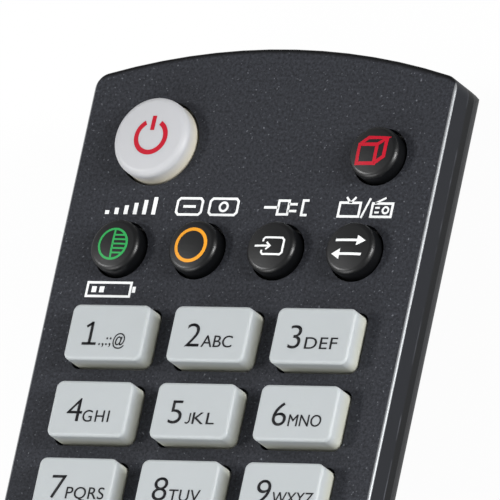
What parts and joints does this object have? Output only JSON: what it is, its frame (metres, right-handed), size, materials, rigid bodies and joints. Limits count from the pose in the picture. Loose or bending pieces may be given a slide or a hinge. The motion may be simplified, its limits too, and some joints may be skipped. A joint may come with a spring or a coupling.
{
  "type": "universal remote control",
  "caption": "Slim handheld infrared remote control with a flat face of silicone keys, rockers, a navigation pad and a sliding battery door",
  "frame": {"origin": "middle of the rest face, in the plane it lies on", "axes": "+Y towards the infrared end, +Z out of the key face, +X to the right seen from the front"},
  "size_m": [0.0466, 0.2, 0.0226],
  "materials": {
    "upper_case": "dark grey ABS, fine light speckle, low sheen",
    "lower_case": "near-black ABS, fine spark texture",
    "silicone_web": "dark silicone sheet",
    "board": "phenolic paper circuit board, brown",
    "black_package": "moulded component packages",
    "led_lens": "clear epoxy lens, faint blue",
    "ir_window": "infrared-clear acrylic, almost black",
    "cell_jacket": "plain printed jacket, no lettering",
    "contact_metal": "nickel plated spring steel",
    "screw_steel": "zinc plated",
    "power_key": "white silicone, satin",
    "number_key": "light grey silicone, satin",
    "black_key": "black silicone, satin",
    "red_key": "red silicone",
    "green_key": "green silicone",
    "yellow_key": "yellow silicone",
    "blue_key": "blue silicone"
  },
  "bodies": {
    "remote": {"battery_1": "cell_jacket", "battery_2": "cell_jacket", "board_parts": "black_package", "bottom_housing": "lower_case", "case_screws": "screw_steel", "circuit_board": "board", "contact_plates": "contact_metal", "contact_springs": "contact_metal", "ir_led": "led_lens", "ir_window": "ir_window", "keypad_mat": "silicone_web", "top_housing": "upper_case"},
    "key_0_body": {"key_0": "number_key"},
    "key_1_body": {"key_1": "number_key"},
    "key_2_body": {"key_2": "number_key"},
    "key_3_body": {"key_3": "number_key"},
    "key_4_body": {"key_4": "number_key"},
    "key_5_body": {"key_5": "number_key"},
    "key_6_body": {"key_6": "number_key"},
    "key_7_body": {"key_7": "number_key"},
    "key_8_body": {"key_8": "number_key"},
    "key_9_body": {"key_9": "number_key"},
    "key_audio_body": {"key_audio": "black_key"},
    "key_back_body": {"key_back": "black_key"},
    "key_blue_body": {"key_blue": "blue_key"},
    "key_down_body": {"key_down": "black_key"},
    "key_eco_body": {"key_eco": "black_key"},
    "key_exit_body": {"key_exit": "black_key"},
    "key_favourite_body": {"key_favourite": "black_key"},
    "key_forward_body": {"key_forward": "black_key"},
    "key_green_body": {"key_green": "green_key"},
    "key_guide_body": {"key_guide": "black_key"},
    "key_home_body": {"key_home": "black_key"},
    "key_info_body": {"key_info": "black_key"},
    "key_input_body": {"key_input": "black_key"},
    "key_left_body": {"key_left": "black_key"},
    "key_list_body": {"key_list": "number_key"},
    "key_mute_body": {"key_mute": "black_key"},
    "key_ok_body": {"key_ok": "black_key"},
    "key_pause_body": {"key_pause": "black_key"},
    "key_picture_body": {"key_picture": "black_key"},
    "key_play_body": {"key_play": "black_key"},
    "key_power_body": {"key_power": "power_key"},
    "key_projection_body": {"key_projection": "black_key"},
    "key_recall_body": {"key_recall": "number_key"},
    "key_record_body": {"key_record": "black_key"},
    "key_red_body": {"key_red": "red_key"},
    "key_rewind_body": {"key_rewind": "black_key"},
    "key_right_body": {"key_right": "black_key"},
    "key_settings_body": {"key_settings": "black_key"},
    "key_stop_body": {"key_stop": "black_key"},
    "key_subtitle_body": {"key_subtitle": "black_key"},
    "key_text_body": {"key_text": "black_key"},
    "key_tv_radio_body": {"key_tv_radio": "black_key"},
    "key_up_body": {"key_up": "black_key"},
    "key_yellow_body": {"key_yellow": "yellow_key"},
    "rocker_channel_body": {"rocker_channel": "black_key"},
    "rocker_volume_body": {"rocker_volume": "black_key"},
    "battery_door_body": {"battery_door": "lower_case"}
  },
  "joints": [
    {"name": "key_0_press", "type": "slide", "parent": "remote", "child": "key_0_body", "axis": [0, 0, -1], "range_m": [0, 0.0008], "stiffness_N_per_m": 1200},
    {"name": "key_1_press", "type": "slide", "parent": "remote", "child": "key_1_body", "axis": [0, 0, -1], "range_m": [0, 0.0008], "stiffness_N_per_m": 1200},
    {"name": "key_2_press", "type": "slide", "parent": "remote", "child": "key_2_body", "axis": [0, 0, -1], "range_m": [0, 0.0008], "stiffness_N_per_m": 1200},
    {"name": "key_3_press", "type": "slide", "parent": "remote", "child": "key_3_body", "axis": [0, 0, -1], "range_m": [0, 0.0008], "stiffness_N_per_m": 1200},
    {"name": "key_4_press", "type": "slide", "parent": "remote", "child": "key_4_body", "axis": [0, 0, -1], "range_m": [0, 0.0008], "stiffness_N_per_m": 1200},
    {"name": "key_5_press", "type": "slide", "parent": "remote", "child": "key_5_body", "axis": [0, 0, -1], "range_m": [0, 0.0008], "stiffness_N_per_m": 1200},
    {"name": "key_6_press", "type": "slide", "parent": "remote", "child": "key_6_body", "axis": [0, 0, -1], "range_m": [0, 0.0008], "stiffness_N_per_m": 1200},
    {"name": "key_7_press", "type": "slide", "parent": "remote", "child": "key_7_body", "axis": [0, 0, -1], "range_m": [0, 0.0008], "stiffness_N_per_m": 1200},
    {"name": "key_8_press", "type": "slide", "parent": "remote", "child": "key_8_body", "axis": [0, 0, -1], "range_m": [0, 0.0008], "stiffness_N_per_m": 1200},
    {"name": "key_9_press", "type": "slide", "parent": "remote", "child": "key_9_body", "axis": [0, 0, -1], "range_m": [0, 0.0008], "stiffness_N_per_m": 1200},
    {"name": "key_audio_press", "type": "slide", "parent": "remote", "child": "key_audio_body", "axis": [0, 0, -1], "range_m": [0, 0.0008], "stiffness_N_per_m": 1200},
    {"name": "key_back_press", "type": "slide", "parent": "remote", "child": "key_back_body", "axis": [0, 0, -1], "range_m": [0, 0.0008], "stiffness_N_per_m": 1200},
    {"name": "key_blue_press", "type": "slide", "parent": "remote", "child": "key_blue_body", "axis": [0, 0, -1], "range_m": [0, 0.0008], "stiffness_N_per_m": 1200},
    {"name": "key_down_press", "type": "slide", "parent": "remote", "child": "key_down_body", "axis": [0, 0, -1], "range_m": [0, 0.0008], "stiffness_N_per_m": 1200},
    {"name": "key_eco_press", "type": "slide", "parent": "remote", "child": "key_eco_body", "axis": [0, 0, -1], "range_m": [0, 0.0008], "stiffness_N_per_m": 1200},
    {"name": "key_exit_press", "type": "slide", "parent": "remote", "child": "key_exit_body", "axis": [0, 0, -1], "range_m": [0, 0.0008], "stiffness_N_per_m": 1200},
    {"name": "key_favourite_press", "type": "slide", "parent": "remote", "child": "key_favourite_body", "axis": [0, 0, -1], "range_m": [0, 0.0008], "stiffness_N_per_m": 1200},
    {"name": "key_forward_press", "type": "slide", "parent": "remote", "child": "key_forward_body", "axis": [0, 0, -1], "range_m": [0, 0.0008], "stiffness_N_per_m": 1200},
    {"name": "key_green_press", "type": "slide", "parent": "remote", "child": "key_green_body", "axis": [0, 0, -1], "range_m": [0, 0.0008], "stiffness_N_per_m": 1200},
    {"name": "key_guide_press", "type": "slide", "parent": "remote", "child": "key_guide_body", "axis": [0, 0, -1], "range_m": [0, 0.0008], "stiffness_N_per_m": 1200},
    {"name": "key_home_press", "type": "slide", "parent": "remote", "child": "key_home_body", "axis": [0, 0, -1], "range_m": [0, 0.0008], "stiffness_N_per_m": 1200},
    {"name": "key_info_press", "type": "slide", "parent": "remote", "child": "key_info_body", "axis": [0, 0, -1], "range_m": [0, 0.0008], "stiffness_N_per_m": 1200},
    {"name": "key_input_press", "type": "slide", "parent": "remote", "child": "key_input_body", "axis": [0, 0, -1], "range_m": [0, 0.0008], "stiffness_N_per_m": 1200},
    {"name": "key_left_press", "type": "slide", "parent": "remote", "child": "key_left_body", "axis": [0, 0, -1], "range_m": [0, 0.0008], "stiffness_N_per_m": 1200},
    {"name": "key_list_press", "type": "slide", "parent": "remote", "child": "key_list_body", "axis": [0, 0, -1], "range_m": [0, 0.0008], "stiffness_N_per_m": 1200},
    {"name": "key_mute_press", "type": "slide", "parent": "remote", "child": "key_mute_body", "axis": [0, 0, -1], "range_m": [0, 0.0008], "stiffness_N_per_m": 1200},
    {"name": "key_ok_press", "type": "slide", "parent": "remote", "child": "key_ok_body", "axis": [0, 0, -1], "range_m": [0, 0.0008], "stiffness_N_per_m": 1200},
    {"name": "key_pause_press", "type": "slide", "parent": "remote", "child": "key_pause_body", "axis": [0, 0, -1], "range_m": [0, 0.0008], "stiffness_N_per_m": 1200},
    {"name": "key_picture_press", "type": "slide", "parent": "remote", "child": "key_picture_body", "axis": [0, 0, -1], "range_m": [0, 0.0008], "stiffness_N_per_m": 1200},
    {"name": "key_play_press", "type": "slide", "parent": "remote", "child": "key_play_body", "axis": [0, 0, -1], "range_m": [0, 0.0008], "stiffness_N_per_m": 1200},
    {"name": "key_power_press", "type": "slide", "parent": "remote", "child": "key_power_body", "axis": [0, 0, -1], "range_m": [0, 0.0008], "stiffness_N_per_m": 1200},
    {"name": "key_projection_press", "type": "slide", "parent": "remote", "child": "key_projection_body", "axis": [0, 0, -1], "range_m": [0, 0.0008], "stiffness_N_per_m": 1200},
    {"name": "key_recall_press", "type": "slide", "parent": "remote", "child": "key_recall_body", "axis": [0, 0, -1], "range_m": [0, 0.0008], "stiffness_N_per_m": 1200},
    {"name": "key_record_press", "type": "slide", "parent": "remote", "child": "key_record_body", "axis": [0, 0, -1], "range_m": [0, 0.0008], "stiffness_N_per_m": 1200},
    {"name": "key_red_press", "type": "slide", "parent": "remote", "child": "key_red_body", "axis": [0, 0, -1], "range_m": [0, 0.0008], "stiffness_N_per_m": 1200},
    {"name": "key_rewind_press", "type": "slide", "parent": "remote", "child": "key_rewind_body", "axis": [0, 0, -1], "range_m": [0, 0.0008], "stiffness_N_per_m": 1200},
    {"name": "key_right_press", "type": "slide", "parent": "remote", "child": "key_right_body", "axis": [0, 0, -1], "range_m": [0, 0.0008], "stiffness_N_per_m": 1200},
    {"name": "key_settings_press", "type": "slide", "parent": "remote", "child": "key_settings_body", "axis": [0, 0, -1], "range_m": [0, 0.0008], "stiffness_N_per_m": 1200},
    {"name": "key_stop_press", "type": "slide", "parent": "remote", "child": "key_stop_body", "axis": [0, 0, -1], "range_m": [0, 0.0008], "stiffness_N_per_m": 1200},
    {"name": "key_subtitle_press", "type": "slide", "parent": "remote", "child": "key_subtitle_body", "axis": [0, 0, -1], "range_m": [0, 0.0008], "stiffness_N_per_m": 1200},
    {"name": "key_text_press", "type": "slide", "parent": "remote", "child": "key_text_body", "axis": [0, 0, -1], "range_m": [0, 0.0008], "stiffness_N_per_m": 1200},
    {"name": "key_tv_radio_press", "type": "slide", "parent": "remote", "child": "key_tv_radio_body", "axis": [0, 0, -1], "range_m": [0, 0.0008], "stiffness_N_per_m": 1200},
    {"name": "key_up_press", "type": "slide", "parent": "remote", "child": "key_up_body", "axis": [0, 0, -1], "range_m": [0, 0.0008], "stiffness_N_per_m": 1200},
    {"name": "key_yellow_press", "type": "slide", "parent": "remote", "child": "key_yellow_body", "axis": [0, 0, -1], "range_m": [0, 0.0008], "stiffness_N_per_m": 1200},
    {"name": "rocker_channel_tip", "type": "hinge", "parent": "remote", "child": "rocker_channel_body", "pos_m": [0.01316, 0.02294, 0.0176], "axis": [1, 0, 0], "range_deg": [-3, 3], "stiffness_Nm_per_rad": 0.25},
    {"name": "rocker_volume_tip", "type": "hinge", "parent": "remote", "child": "rocker_volume_body", "pos_m": [-0.01316, 0.02294, 0.0176], "axis": [1, 0, 0], "range_deg": [-3, 3], "stiffness_Nm_per_rad": 0.25},
    {"name": "door_slide", "type": "slide", "parent": "remote", "child": "battery_door_body", "axis": [0, -1, 0], "range_m": [0, 0.058]}
  ]
}
